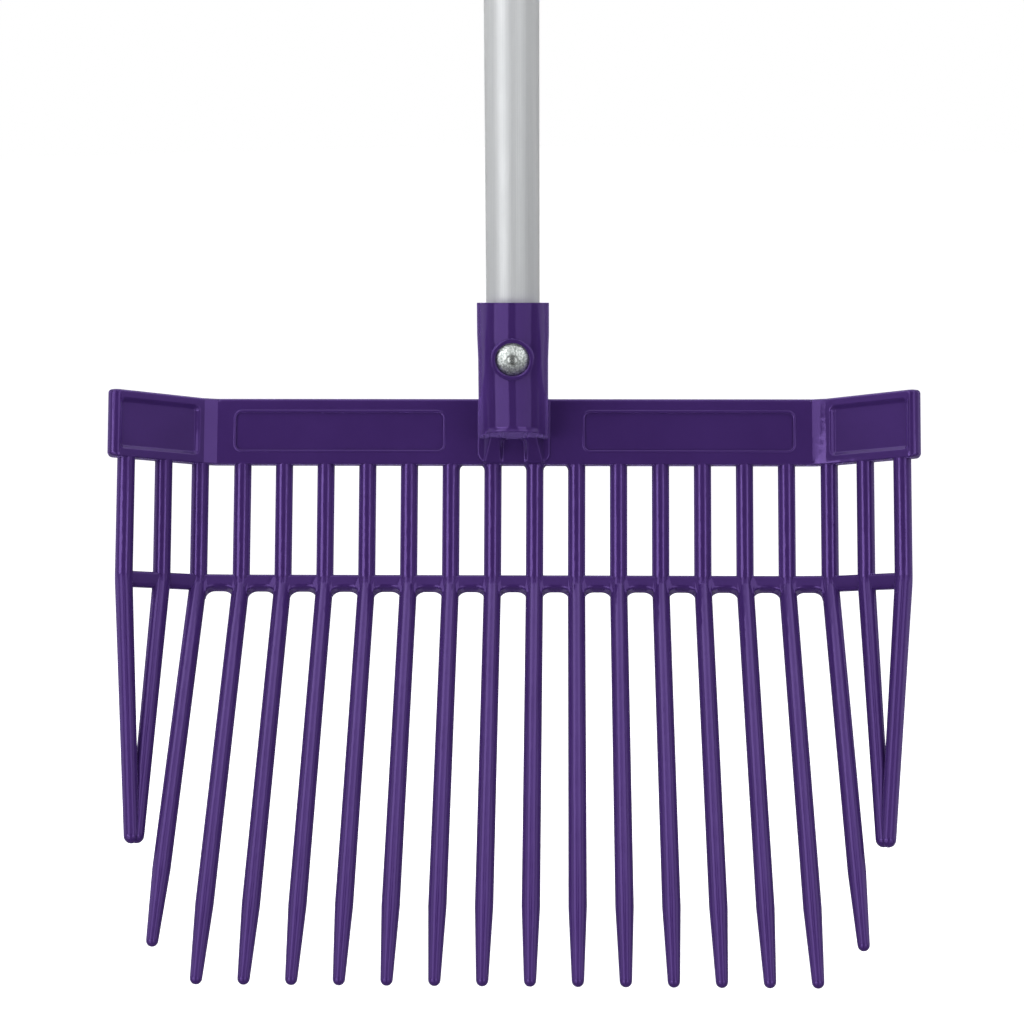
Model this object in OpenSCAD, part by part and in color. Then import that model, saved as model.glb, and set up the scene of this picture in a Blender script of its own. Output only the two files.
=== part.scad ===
// Stable fork: a moulded basket head on an aluminium tube handle.
// The handle runs along +Z and the front faces -Y. The origin lies on the handle's axis, level with
// the highest point of the socket's rim, which is at the front.

/* [Bar and wings] */
// Height of the bar that carries the tines
bar_h = 32.4; // [28:0.2:40]
// Thickness of the bar and of the wings
bar_t = 8.6; // [8.4:0.1:10]
// Angle by which each wing turns forward from the bar
wing_angle = 40; // [30:1:45]
// Length of the flat strip that eases the bar into each wing
corner_len = 8; // [6:0.5:10]
// Length of a wing, up to the middle of its rounded end
wing_len = 46.4; // [45:0.2:56]
// Depth of the shallow panels in the bar
panel_depth = 0.8; // [0.5:0.1:1.5]
// Depth of the panels in the wings
wing_panel_depth = 1.8; // [1:0.1:2.5]
// Width of the border that the panels leave at the top and bottom of the bar
panel_border = 6.3; // [5:0.1:8]
// Width of the border that the wing panels leave at top and bottom
wing_panel_border = 3.6; // [3:0.1:5]
// Distance along a wing from the corner tine to the near end of its panel
wing_panel_near = 3; // [2:0.1:5]
// Width of the lip between a wing's panel and the outside of its rounded end
wing_lip = 3.4; // [3:0.1:5]
// Corner radius of the panels
panel_corner_r = 3.2; // [2:0.1:4]
// Distance from the middle of the fork to the near end of a bar panel
panel_near = 34; // [30:0.5:40]
// Distance from the middle of the fork to the far end of a bar panel
panel_far = 137; // [120:0.5:140]

/* [Tines] */
// Distance between neighbouring tines
tine_pitch = 20.5; // [20:0.1:22]
// Diameter of a tine between the bar and the brace
tine_d = 8.5; // [7:0.1:8.5]
// Diameter of a long tine where its point begins
tine_low_d = 8.2; // [6.5:0.1:8.4]
// Diameter of the rounded tip
tip_d = 5.4; // [4:0.1:6]
// Length of the tapering point of a long tine
point_len = 38; // [25:1:50]
// Length of a long tine below the brace
tine_len = 214; // [180:1:230]
// Length of the two tines at the corners below the brace
corner_tine_len = 196; // [170:1:214]
// Angle by which the tines turn forward below the brace
tine_bend = 33; // [25:1:38]
// Diameter of the rounded knee in each tine at the brace
knee_d = 8.7; // [8.6:0.1:9.4]

/* [Side guards] */
// Distance from the middle of the fork to the tip of a side guard
guard_tip_out = 167.6; // [166:0.1:171]
// Distance from the brace down to the tip of a side guard
guard_tip_drop = 118.5; // [100:0.5:130]
// Distance from the bar forward to the tip of a side guard
guard_tip_front = 82; // [70:0.5:90]
// Diameter of a guard tine where its rounded tip begins
guard_tip_d = 7; // [6:0.1:7.2]
// Diameter of the ball that rounds a guard tine's tip
guard_ball_d = 7.3; // [7.2:0.1:8]
// Distance between the middles of the two guard tines at their shared tip
guard_tip_gap = 2.6; // [2:0.1:4]

/* [Brace] */
// Distance from the bar down to the middle of the brace
brace_drop = 58; // [50:0.5:65]
// Height of the brace
brace_h = 7.7; // [6:0.1:9]
// Thickness of the brace
brace_t = 6.2; // [5:0.1:6.4]
// Radius of the brace's edges
brace_edge_r = 1.6; // [0.6:0.1:2]
// Radius of the fillets between the brace and the tines below it
window_fillet_r = 3; // [1.5:0.1:4]

/* [Socket] */
// Angle between the handle and the bar
handle_lean = 22.5; // [18:0.5:26]
// Distance of the handle's axis in front of the bar, level with the bar's bottom edge
axis_front = 8; // [7:0.5:12]
// Height of the socket's lower end above the bar's bottom edge
lip_up = 12.3; // [9:0.1:16]
// Outside diameter of the socket at its mouth
collar_d = 34.4; // [33.8:0.1:36]
// Length of the socket at that diameter, from the top of its rim
collar_len = 19; // [12:0.5:20]
// Length over which the socket narrows below the collar
collar_ease = 12; // [8:0.5:14]
// Outside diameter of the socket below the collar
socket_d = 33.6; // [32:0.1:33.8]
// Distance that each side of the block behind the socket stays inside the socket's widest part
saddle_inset = 0.5; // [0.3:0.1:1]
// Slope of the socket's rim, which falls from front to back
mouth_slant = 11.5; // [0:0.5:14]
// Length of tube inside the socket, from the top of its rim
tube_depth = 59; // [50:0.5:70]
// Thickness of the socket's floor under the front of the tube
socket_floor = 5; // [3:0.5:7]
// Width of the pad where the socket joins the bar
pad_w = 35.8; // [34:0.1:38]
// Thickness of that pad
pad_t = 1.2; // [0.8:0.1:2]
// Radius of the pad's lower corners
pad_corner_r = 5; // [4:0.5:9]
// Distance of the pad's lower edge above the bar's bottom edge
pad_lift = 0.4; // [0.2:0.1:4]
// Distance that the two ribs under the socket stand out from the pad at their top
rib_reach = 6; // [4:0.5:10]
// Distance by which the outer side of a rib leans in at its front
rib_lean = 3.2; // [1:0.1:4]

/* [Handle] */
// Outside diameter of the handle tube
tube_d = 25.4; // [24:0.1:26]
// Wall of the handle tube
tube_wall = 1.5; // [1.2:0.1:2]
// Length of tube above the top of the socket's rim
grip_len = 1200; // [900:10:1400]
// Thickness of the end cap's head
cap_t = 3; // [2:0.5:5]
// Width of the bevel round the end cap
cap_bevel = 1.2; // [0.5:0.1:1.8]
// Length of the end cap's plug
plug_len = 22; // [15:1:30]
// Wall of the end cap's plug
plug_wall = 1.8; // [1.2:0.1:2.5]

/* [Bolt] */
// Distance of the bolt below the top of the socket's rim
bolt_drop = 27.3; // [24:0.1:30]
// Diameter of the bolt's shank
bolt_d = 6; // [5:1:6]
// Diameter of the bolt's domed head
bolt_head_d = 15.6; // [14:0.1:16]
// Height of the straight rim of the head
bolt_rim_h = 0.8; // [0.5:0.1:1]
// Height of the dome above the rim
bolt_dome_h = 2.4; // [1.8:0.1:2.6]
// Diameter of the ringed boss round the head
bolt_boss_d = 20.4; // [19.5:0.1:22]
// Distance from the axis to the face of that boss
bolt_boss_reach = 18; // [17.6:0.1:18.6]
// Distance from the axis to the seat of the head
bolt_seat_reach = 15.2; // [14.6:0.1:15.6]
// Diameter of the boss under the washer
nut_boss_d = 16; // [14:0.5:18]
// Distance from the axis to the seat of the washer
nut_boss_reach = 17.6; // [17.3:0.1:18.6]
// Outside diameter of the washer
washer_d = 12.5; // [11:0.5:13]
// Thickness of the washer
washer_t = 1.6; // [1:0.1:2]
// Width of the nut across its flats
nut_flats = 10; // [9:0.5:11]
// Height of the nut's hexagon
nut_h = 4.6; // [4:0.1:5]
// Height of the round collar on the nut
nut_collar_h = 1.8; // [1:0.1:2.5]
// Length of bolt that shows past the nut
bolt_tail = 2; // [1:0.5:4]

/* [Fits] */
// Clearance all round between the tube and the socket
tube_fit = 0.1; // [0.05:0.01:0.2]
// Clearance all round between the plug and the tube
plug_fit = 0.05; // [0.02:0.01:0.1]
// Clearance all round the bolt's shank
bolt_fit = 0.2; // [0.1:0.05:0.3]
// Clearance all round the bolt's head in its boss
head_fit = 0.2; // [0.1:0.1:0.6]
// Length by which a cut runs past the faces it goes through
overrun = 1; // [1:1:2]

/* [Hidden] */
$fn = 64;

tine_count = 20;
wing_tines = 2;
hex_sides = 6;

plastic = "rebeccapurple";
metal = "silver";
zinc = "lightgray";
cap_black = "dimgray";

// Number of tine spacings from the middle of the fork to the corner tine
corner_n = tine_count / 2 - wing_tines - 0.5;
corner_x = corner_n * tine_pitch;
corner_front = corner_len * sin(wing_angle / 2);
flat_half = corner_x - corner_len * cos(wing_angle / 2);
wing_panel_len = wing_len + bar_t / 2 - wing_lip - wing_panel_near;

face_front = bar_t / 2;
bore_d = tube_d + 2 * tube_fit;
tube_inner_d = tube_d - 2 * tube_wall;
// Height of the tube's end above the bar's bottom edge, on the axis
tube_end_up = lip_up + socket_floor + bore_d / 2 * sin(handle_lean);
// Distance along the axis from the level of the bar's bottom edge to the top of the socket's rim
axis_reach = tube_depth + tube_end_up / cos(handle_lean);
mouth_up = axis_reach * cos(handle_lean);
mouth_front = axis_front + axis_reach * sin(handle_lean);
socket_len = axis_reach - lip_up / cos(handle_lean) + socket_d / 2 * tan(handle_lean);
plug_d = tube_inner_d - 2 * plug_fit;
bolt_hole_d = bolt_d + 2 * bolt_fit;
neck_len = bolt_seat_reach - bore_d / 2;
nut_seat = nut_boss_reach + washer_t;
bolt_end = nut_seat + nut_h + nut_collar_h + bolt_tail;
dome_r = (pow(bolt_head_d / 2, 2) + pow(bolt_dome_h, 2)) / (2 * bolt_dome_h);

function pad_number(i) = i < 10 ? str("0", i) : str(i);
function tine_name(i) = str("tine_", pad_number(i));
tine_names = [for (i = [1:tine_count]) tine_name(i)];
head_names = ["bar", "left_wing", "right_wing", "socket", "brace"];
handle_names = ["handle_tube", "end_cap", "bolt", "washer", "nut"];

// Tine number counted from the middle of the fork: halves, negative on the left
function tine_n(i) = i - (tine_count + 1) / 2;
function wing_at(s) = [corner_x + s * cos(wing_angle), -corner_front - s * sin(wing_angle)];
function half_plan(n) = n < corner_n ? [n * tine_pitch, 0] : wing_at((n - corner_n) * tine_pitch);
function tine_plan(i) = let (n = tine_n(i), p = half_plan(abs(n))) [sign(n) * p.x, p.y];
function unit(v) = v / norm(v);

// Puts a piece drawn in the head's own frame (bar upright, its bottom edge at the origin) on the handle
module place_head() {
    rotate([-handle_lean, 0, 0])
        translate([0, mouth_front, -mouth_up])
            children();
}

module mirror_left(left) {
    mirror([left ? 1 : 0, 0, 0])
        children();
}

// A round bar or cone from point a to point b
module rod(a, b, d_a, d_b) {
    along = b - a;
    len = norm(along);
    translate(a)
        rotate([0, acos(along.z / len), atan2(along.y, along.x)])
            cylinder(h = len, d1 = d_a, d2 = d_b);
}

// A block of the given size that begins at a point and lies on the side the normal points to
module side_block(point, normal, size) {
    translate(point)
        rotate([0, acos(normal.z / norm(normal)), atan2(normal.y, normal.x)])
            translate([-size / 2, -size / 2, 0])
                cube(size);
}

module rounded_square(w, h, r) {
    translate([r, 0])
        square([w - 2 * r, h]);
    translate([0, r])
        square([w, h - 2 * r]);
    for (x = [r, w - r], y = [r, h - r])
        translate([x, y])
            circle(r = r);
}

// A hole or pin along Y, from y_from to y_to, level with the bolt
module across(d, y_from, y_to) {
    translate([0, y_from, -bolt_drop])
        rotate([-90, 0, 0])
            cylinder(h = y_to - y_from, d = d);
}

// A corner of the outline seen from above, at point p, where the bar or wing has turned by the angle;
// side is 1 for the front face and -1 for the back
function turned(p, angle, side) =
    p + side * face_front / cos(wing_angle / 4) * [-sin(angle), -cos(angle)];

module bar() {
    front = turned([flat_half, 0], wing_angle / 4, 1);
    back = turned([flat_half, 0], wing_angle / 4, -1);
    color(plastic)
        place_head()
            difference() {
                linear_extrude(bar_h)
                    polygon([front, back, [-back.x, back.y], [-front.x, front.y]]);
                for (left = [false, true])
                    mirror_left(left)
                        bar_panel();
            }
}

// The shallow pocket in the front of the bar on one side
module bar_panel() {
    translate([panel_near, panel_depth - face_front, panel_border])
        rotate([90, 0, 0])
            linear_extrude(panel_depth + overrun)
                rounded_square(panel_far - panel_near, bar_h - 2 * panel_border, panel_corner_r);
}

// Right wing seen from above: a corner strip, the wing itself and its rounded end
module wing_plan() {
    across_end = face_front * [sin(wing_angle), cos(wing_angle)];
    polygon([
        turned([flat_half, 0], wing_angle / 4, 1),
        turned(wing_at(0), 3 * wing_angle / 4, 1),
        wing_at(wing_len) - across_end,
        wing_at(wing_len) + across_end,
        turned(wing_at(0), 3 * wing_angle / 4, -1),
        turned([flat_half, 0], wing_angle / 4, -1)
    ]);
    translate(wing_at(wing_len))
        circle(r = face_front);
}

module wing() {
    difference() {
        linear_extrude(bar_h)
            wing_plan();
        translate(wing_at(wing_panel_near))
            rotate([90, 0, -wing_angle])
                translate([0, wing_panel_border, face_front - wing_panel_depth])
                    linear_extrude(wing_panel_depth + overrun)
                        rounded_square(wing_panel_len, bar_h - 2 * wing_panel_border, panel_corner_r);
    }
}

module left_wing() {
    color(plastic)
        place_head()
            mirror_left(true)
                wing();
}

module right_wing() {
    color(plastic)
        place_head()
            wing();
}

// A tine of the basket's floor: straight down from the bar to a knee at the brace, then forward to a point
module floor_tine(n, length) {
    shaft_len = length - point_len;
    at = half_plan(n);
    translate([at.x, at.y, -brace_drop]) {
        cylinder(h = brace_drop, d = tine_d);
        sphere(d = knee_d);
        rotate([180 - tine_bend, 0, 0]) {
            cylinder(h = shaft_len, d1 = tine_d, d2 = tine_low_d);
            translate([0, 0, shaft_len])
                cylinder(h = point_len - tip_d / 2, d1 = tine_low_d, d2 = tip_d);
            translate([0, 0, length - tip_d / 2])
                sphere(d = tip_d);
        }
    }
}

// One of the two tines of a side guard, which lean together and share a tip, cut where the other begins
module guard_tine(n) {
    inner = half_plan(corner_n + 1);
    outer = half_plan(corner_n + 2);
    knee_inner = [inner.x, inner.y, -brace_drop];
    knee_outer = [outer.x, outer.y, -brace_drop];
    tip = [guard_tip_out, -guard_tip_front, -brace_drop - guard_tip_drop];
    outward = unit(knee_outer - knee_inner);
    side = n > corner_n + 1 ? 1 : -1;
    knee = side > 0 ? knee_outer : knee_inner;
    end = tip + side * guard_tip_gap / 2 * outward;
    middle = (knee_inner + knee_outer) / 2;
    between = unit(outward - (outward * unit(tip - middle)) * unit(tip - middle));
    translate(knee) {
        cylinder(h = brace_drop, d = tine_d);
        sphere(d = knee_d);
    }
    intersection() {
        union() {
            rod(knee, end, tine_d, guard_tip_d);
            translate(end)
                sphere(d = guard_ball_d);
        }
        side_block(tip, side * between, 2 * guard_tip_drop + 2 * guard_tip_front);
    }
}

module tine(i) {
    n = tine_n(i);
    mirror_left(n < 0)
        if (abs(n) > corner_n)
            guard_tine(abs(n));
        else
            floor_tine(abs(n), abs(n) == corner_n ? corner_tine_len : tine_len);
}

module tine_node(i) {
    color(plastic)
        place_head()
            tine(i);
}

// The length of brace between tine i and the next one, with fillets under it where both are floor tines
module brace_span(i) {
    a = tine_plan(i);
    b = tine_plan(i + 1);
    along = b - a;
    start = tine_d / 4;
    floor_bay = max(abs(tine_n(i)), abs(tine_n(i + 1))) <= corner_n;
    translate([a.x, a.y, -brace_drop])
        rotate([0, 0, atan2(along.y, along.x)])
            rotate([floor_bay ? -tine_bend / 2 : 0, 0, 0])
                translate([start, 0, 0])
                    rotate([90, 0, 90])
                        linear_extrude(norm(along) - 2 * start)
                            translate([-brace_t / 2, -brace_h / 2])
                                rounded_square(brace_t, brace_h, brace_edge_r);
    if (floor_bay) {
        window_fillet(a, false);
        window_fillet(b, true);
    }
}

// The rounded corner between the brace and the right side of the tine at plan point p, or its left side
module window_fillet(p, left) {
    reach = tine_d / 2 + window_fillet_r;
    drop = brace_h / 2 + window_fillet_r;
    fillet_t = brace_t - 2 * brace_edge_r;
    translate([p.x, p.y, -brace_drop])
        mirror_left(left)
            rotate([90 - tine_bend, 0, 0])
                translate([0, 0, -fillet_t / 2])
                    linear_extrude(fillet_t)
                        difference() {
                            translate([0, -drop])
                                square([reach, drop]);
                            translate([reach, -drop])
                                circle(r = window_fillet_r);
                        }
}

module brace() {
    color(plastic)
        place_head()
            difference() {
                for (i = [1:tine_count - 1])
                    brace_span(i);
                for (i = [1:tine_count])
                    tine(i);
            }
}

// Side view of the block that joins the socket to the bar, as [distance in front of the bar, height]
module saddle_side() {
    polygon([
        [face_front, bar_h],
        [axis_front + bar_h * tan(handle_lean), bar_h],
        [axis_front + lip_up * tan(handle_lean), lip_up],
        [face_front, lip_up]
    ]);
}

// A rib that runs from a tine up to the socket's lower end and stands out more and more; one side
// of it leans in
module saddle_rib() {
    pad_front = face_front + pad_t;
    inner = tine_pitch / 2 - tine_d / 2;
    outer = tine_pitch / 2 + tine_d / 2;
    intersection() {
        linear_extrude(lip_up)
            polygon([
                [inner, -face_front],
                [inner, -pad_front - rib_reach],
                [outer - rib_lean, -pad_front - rib_reach],
                [outer, -pad_front],
                [outer, -face_front]
            ]);
        upright(0, 2 * pad_w)
            polygon([
                [face_front, pad_lift],
                [pad_front, pad_lift],
                [pad_front + rib_reach, lip_up],
                [face_front, lip_up]
            ]);
    }
}

// Stands a side view upright, w wide, with its middle at x
module upright(x, w) {
    translate([x - w / 2, 0, 0])
        rotate([90, 0, 90])
            mirror([1, 0])
                linear_extrude(w)
                    children();
}

// The pad, block and two ribs that carry the socket in front of the bar
module saddle() {
    upright(0, socket_d - 2 * saddle_inset)
        saddle_side();
    for (left = [false, true])
        mirror_left(left)
            saddle_rib();
    translate([-pad_w / 2, -face_front, pad_lift])
        rotate([90, 0, 0])
            linear_extrude(pad_t)
                rounded_square(pad_w, bar_h - pad_lift, pad_corner_r);
    translate([-pad_w / 2, -face_front - pad_t, bar_h / 2])
        cube([pad_w, pad_t, bar_h / 2]);
}

// The round body of the socket, cut off below along the bar
module socket_barrel() {
    difference() {
        union() {
            translate([0, 0, -collar_len])
                cylinder(h = collar_len, d = collar_d);
            translate([0, 0, -collar_len - collar_ease])
                cylinder(h = collar_ease, d1 = socket_d, d2 = collar_d);
            translate([0, 0, -socket_len])
                cylinder(h = socket_len - collar_len - collar_ease, d = socket_d);
        }
        place_head()
            translate([-pad_w, -2 * socket_d, lip_up - socket_d])
                cube([2 * pad_w, 3 * socket_d, socket_d]);
    }
}

module socket() {
    color(plastic)
        difference() {
            union() {
                socket_barrel();
                across(bolt_boss_d, -bolt_boss_reach, 0);
                across(nut_boss_d, 0, nut_boss_reach);
                place_head()
                    saddle();
            }
            place_head()
                translate([-pad_w, -face_front, 0])
                    cube([2 * pad_w, 2 * bar_t, bar_h]);
            translate([0, -collar_d / 2, 0])
                rotate([-mouth_slant, 0, 0])
                    translate([-collar_d, -collar_d, 0])
                        cube([2 * collar_d, 3 * collar_d, collar_d]);
            translate([0, 0, -tube_depth])
                cylinder(h = tube_depth + overrun, d = bore_d);
            across(bolt_head_d + 2 * head_fit, -bolt_boss_reach - overrun, -bolt_seat_reach);
            across(bolt_hole_d, 0, nut_boss_reach + overrun);
            translate([-bolt_hole_d / 2, -bolt_seat_reach - overrun, -bolt_drop - bolt_hole_d / 2])
                cube([bolt_hole_d, bolt_seat_reach + overrun, bolt_hole_d]);
        }
}

module handle_tube() {
    color(metal)
        difference() {
            translate([0, 0, -tube_depth])
                cylinder(h = tube_depth + grip_len, d = tube_d);
            translate([0, 0, -tube_depth - overrun])
                cylinder(h = tube_depth + grip_len + 2 * overrun, d = tube_inner_d);
            across(bolt_hole_d, -tube_d, tube_d);
        }
}

module end_cap() {
    color(cap_black)
        translate([0, 0, grip_len])
            difference() {
                union() {
                    cylinder(h = cap_t - cap_bevel, d = tube_d);
                    translate([0, 0, cap_t - cap_bevel])
                        cylinder(h = cap_bevel, d1 = tube_d, d2 = tube_d - 2 * cap_bevel);
                    translate([0, 0, -plug_len])
                        cylinder(h = plug_len, d = plug_d);
                }
                translate([0, 0, -plug_len - overrun])
                    cylinder(h = plug_len + overrun, d = plug_d - 2 * plug_wall);
            }
}

module bolt() {
    color(zinc) {
        across(bolt_head_d, -bolt_seat_reach - bolt_rim_h, -bolt_seat_reach);
        intersection() {
            translate([0, dome_r - bolt_seat_reach - bolt_rim_h - bolt_dome_h, -bolt_drop])
                sphere(r = dome_r);
            across(bolt_head_d, -bolt_seat_reach - bolt_rim_h - bolt_dome_h, -bolt_seat_reach - bolt_rim_h);
        }
        translate([-bolt_d / 2, -bolt_seat_reach, -bolt_drop - bolt_d / 2])
            cube([bolt_d, neck_len, bolt_d]);
        across(bolt_d, -bolt_seat_reach, bolt_end);
    }
}

module washer() {
    color(zinc)
        difference() {
            across(washer_d, nut_boss_reach, nut_seat);
            across(bolt_hole_d, nut_boss_reach - overrun, nut_seat + overrun);
        }
}

module nut() {
    across_corners = nut_flats / cos(180 / hex_sides);
    color(zinc)
        difference() {
            union() {
                translate([0, nut_seat, -bolt_drop])
                    rotate([-90, 0, 0])
                        linear_extrude(nut_h)
                            circle(d = across_corners, $fn = hex_sides);
                across(nut_flats, nut_seat + nut_h, nut_seat + nut_h + nut_collar_h);
            }
            across(bolt_d, nut_seat - overrun, bolt_end);
        }
}

bar();
left_wing();
right_wing();
socket();
brace();
for (i = [1:tine_count])
    tine_node(i);
handle_tube();
end_cap();
bolt();
washer();
nut();
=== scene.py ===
"""Looks of a stable fork: a glossy moulded basket head bolted to a satin aluminium tube.

Metres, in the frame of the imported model: +Z runs up the handle and -Y is the open front of the basket.
The head is drawn in a frame of its own, with the bar upright and its bottom edge at the origin.
HEAD puts it on the handle.
"""
import math

import bmesh
import bpy
from mathutils import Matrix, Vector


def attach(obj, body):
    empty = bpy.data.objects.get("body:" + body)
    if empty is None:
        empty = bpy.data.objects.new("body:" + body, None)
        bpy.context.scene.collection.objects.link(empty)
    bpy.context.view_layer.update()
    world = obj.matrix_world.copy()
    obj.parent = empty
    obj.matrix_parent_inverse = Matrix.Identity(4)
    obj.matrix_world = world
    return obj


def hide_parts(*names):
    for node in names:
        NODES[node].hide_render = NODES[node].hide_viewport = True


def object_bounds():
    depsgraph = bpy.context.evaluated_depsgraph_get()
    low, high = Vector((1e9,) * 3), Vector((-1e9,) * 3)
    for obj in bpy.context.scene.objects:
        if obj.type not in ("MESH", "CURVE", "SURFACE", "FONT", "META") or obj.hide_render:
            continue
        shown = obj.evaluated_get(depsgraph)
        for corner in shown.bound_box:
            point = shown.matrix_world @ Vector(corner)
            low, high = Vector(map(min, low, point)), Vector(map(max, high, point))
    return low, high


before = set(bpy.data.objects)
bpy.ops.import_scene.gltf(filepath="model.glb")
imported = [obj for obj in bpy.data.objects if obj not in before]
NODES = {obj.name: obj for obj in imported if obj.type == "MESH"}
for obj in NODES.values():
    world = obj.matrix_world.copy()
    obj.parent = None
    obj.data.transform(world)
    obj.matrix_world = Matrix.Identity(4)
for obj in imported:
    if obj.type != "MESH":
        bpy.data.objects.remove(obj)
CAD_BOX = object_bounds()

# Handle and socket
HEAD_LEAN = math.radians(22.5)
AXIS_FRONT = 0.008
LIP_UP = 0.0123
SOCKET_FLOOR = 0.005
SOCKET_R = 0.0168
TUBE_DEPTH = 0.059
BORE_R = 0.0128
TUBE_END_UP = LIP_UP + SOCKET_FLOOR + BORE_R * math.sin(HEAD_LEAN)
AXIS_REACH = TUBE_DEPTH + TUBE_END_UP / math.cos(HEAD_LEAN)
HEAD_SHIFT = Vector((0, AXIS_FRONT + AXIS_REACH * math.sin(HEAD_LEAN), -AXIS_REACH * math.cos(HEAD_LEAN)))
HEAD = Matrix.Rotation(-HEAD_LEAN, 4, "X") @ Matrix.Translation(HEAD_SHIFT)
HEAD_TURN = HEAD.to_3x3()
HEAD_UP = HEAD_TURN @ Vector((0, 0, 1))
HEAD_BACK = HEAD.inverted()
# Depth in the bore from which its edges are left sharp
BORE_MOUTH = 0.012

# Bar and wings
BAR_H = 0.0324
BAR_T = 0.0086
WING_ANGLE = math.radians(40)
CORNER_LEN = 0.008
WING_LEN = 0.0464
# Direction of the right wing in plan, outwards
WING_RUN = Vector((math.cos(WING_ANGLE), -math.sin(WING_ANGLE)))
# Distances from the middle between which the faces lie where the bar and a wing meet
SEAM_SPAN = (0.140, 0.150)

# Panels in the wings, and the width of their sloping sides
WING_PANEL_NEAR = 0.003
WING_PANEL_FAR = 0.0473
WING_PANEL_BORDER = 0.0036
WING_PANEL_CORNER_R = 0.0032
WING_PANEL_DEPTH = 0.0018
SLOPE_W = 0.0024
SLOPE_STEPS = 12

# Raised lines round the bar's panels
PANEL_NEAR = 0.034
PANEL_FAR = 0.137
PANEL_BORDER = 0.0063
PANEL_CORNER_R = 0.0035
BEAD_R = 0.001
BEAD_H = 0.0003
BEAD_STEPS = 8
CORNER_STEPS = 8
# How far the raised lines and the sloping sides reach into the moulding
TRIM_SINK = 0.0012

# Foot of the socket: a pad on the bar, two ribs and the lip above them
PAD_W = 0.0358
PAD_T = 0.0012
PAD_LIFT = 0.0004
PAD_CORNER_R = 0.005
PAD_TOP_DROP = 0.0012
RIB_REACH = 0.006
RIB_LEAN = 0.0032
RIB_SOFT = 0.001
POCKET_CORNER_R = 0.002
FOOT_STEP = 0.00025
FOOT_SINK = 0.001
LIP_FLARE = 0.0013
LIP_H = 0.003
LIP_EDGE_R = 0.0003
LIP_SINK = 0.0008
LIP_HALF_TURN = math.radians(54)
LIP_FADE_TURN = math.radians(14)
LIP_STEPS = 56
FLARE_STEPS = 8

# Bolt, and the radii between which its dome goes from smooth to grainy
BOLT_DROP = 0.0273
BOSS_FRONT = 0.018
BOSS_R = 0.0102
DOME_GRAIN_FROM = 0.0022
DOME_GRAIN_FULL = 0.0032

# Tines
TINE_COUNT = 20
TINE_PITCH = 0.0205
CORNER_N = 7.5
TINE_R = 0.00425
TINE_LOW_R = 0.0041
TIP_R = 0.0027
TIP_STEP = math.radians(18)
TIP_STEPS = 4
POINT_LEN = 0.038
POINT_STEPS = 5
TINE_LEN = 0.214
CORNER_TINE_LEN = 0.196
LEG_STEPS = 4
TINE_BEND = math.radians(33)
BEND_R = 0.012
BEND_STEPS = 10
TINE_SIDES = 28
ROOT_SINK = 0.001
ROOT_FILLET_R = 0.0026
# Distances below the bar's edge at which a tine is drawn, close together in its root fillet
ROOT_DROPS = (-ROOT_SINK, 0.0, 0.0001, 0.0003, 0.0006, 0.001, 0.0015, ROOT_FILLET_R, 0.02, 0.04)
# Sides of a tine, left and right, on which a fillet eases it into the bar
ROOT_FILLETS = {9: (0, 1), 10: (1, 0), 11: (1, 1), 12: (1, 0)}

# Side guards
GUARD_TIP = Vector((0.1676, -0.082, -0.1185))
GUARD_TIP_R = 0.0035
GUARD_TIP_GAP = 0.0026

# Brace, with arched corners that begin a little inside the tines
BRACE_DROP = 0.058
BRACE_H = 0.0077
BRACE_T = 0.0062
BRACE_EDGE_R = 0.0016
ARCH_R = 0.0046
ARCH_SINK = 0.0005
ARCH_FROM = TINE_R - ARCH_SINK
# Shares of the arch's radius at which the brace is drawn
ARCH_SHARES = (0.0, 0.04, 0.08, 0.12, 0.18, 0.25, 0.4, 0.6, 0.8, 1.0)

# Radii of moulded edges
BAR_TOP_R = 0.0016
BAR_BOTTOM_R = 0.0007
PANEL_RIM_R = 0.00045
PANEL_FLOOR_R = 0.00032
WING_BEND_R = 0.0006
WING_CORNER_R = 0.0028
SOCKET_EDGE_R = 0.0004
SOCKET_RIM_R = 0.0001
PAD_EDGE_R = 0.001
BOSS_EDGE_R = 0.00075
# Heights of the layers in a wing's rounded corner, as shares of its radius
WING_CORNER_LAYERS = (0.35, 0.5, 0.7)

# Edges: the angles from which they are crisp, and how finely a round one is drawn
CRISP_ANGLE = math.radians(32)
RELIEF_CRISP_ANGLE = math.radians(60)
EDGE_STEPS = 5
EDGE_SEGMENTS = 4
# The left wing's bend is crisp from a smaller angle on: a long upright edge this far left of the middle
BEND_ANGLE = math.radians(17)
BEND_EDGE_LEN = 0.01
BEND_FROM = 0.1

# Slack in telling where a face or an edge lies
NEAR = 0.0002
HAIR = NEAR / 10
BORE_SLACK = 0.0003
# Least part of its normal along an axis for a face that looks that way
SEAM_FACING = 0.9
BAR_FACING = 0.99
# Points closer than this are one, and faces that turn less than this are one flat face
WELD_DISTANCE = 2e-6
FLAT_ANGLE = math.radians(0.4)

# Colours: a darker and a lighter tone of each surface, and the tint of a surface's gloss or edges
PURPLE = ((0.031, 0.0130, 0.080), (0.035, 0.0150, 0.090))
PURPLE_GLOSS = (0.52, 0.32, 1.0, 1.0)
PURPLE_EDGES = (0.5, 0.32, 1.0, 1.0)
ALUMINIUM = ((0.515, 0.53, 0.541), (0.575, 0.586, 0.595))
ALUMINIUM_GLOSS = (1.0, 0.95, 0.91, 1.0)
ZINC = ((0.42, 0.44, 0.43), (0.70, 0.73, 0.72))
BOLT_ZINC = ((0.30, 0.33, 0.32), (0.80, 0.84, 0.82))
CAP_BLACK = ((0.016, 0.016, 0.018), (0.028, 0.028, 0.03))
WHITE = (1.0, 1.0, 1.0, 1.0)

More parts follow.
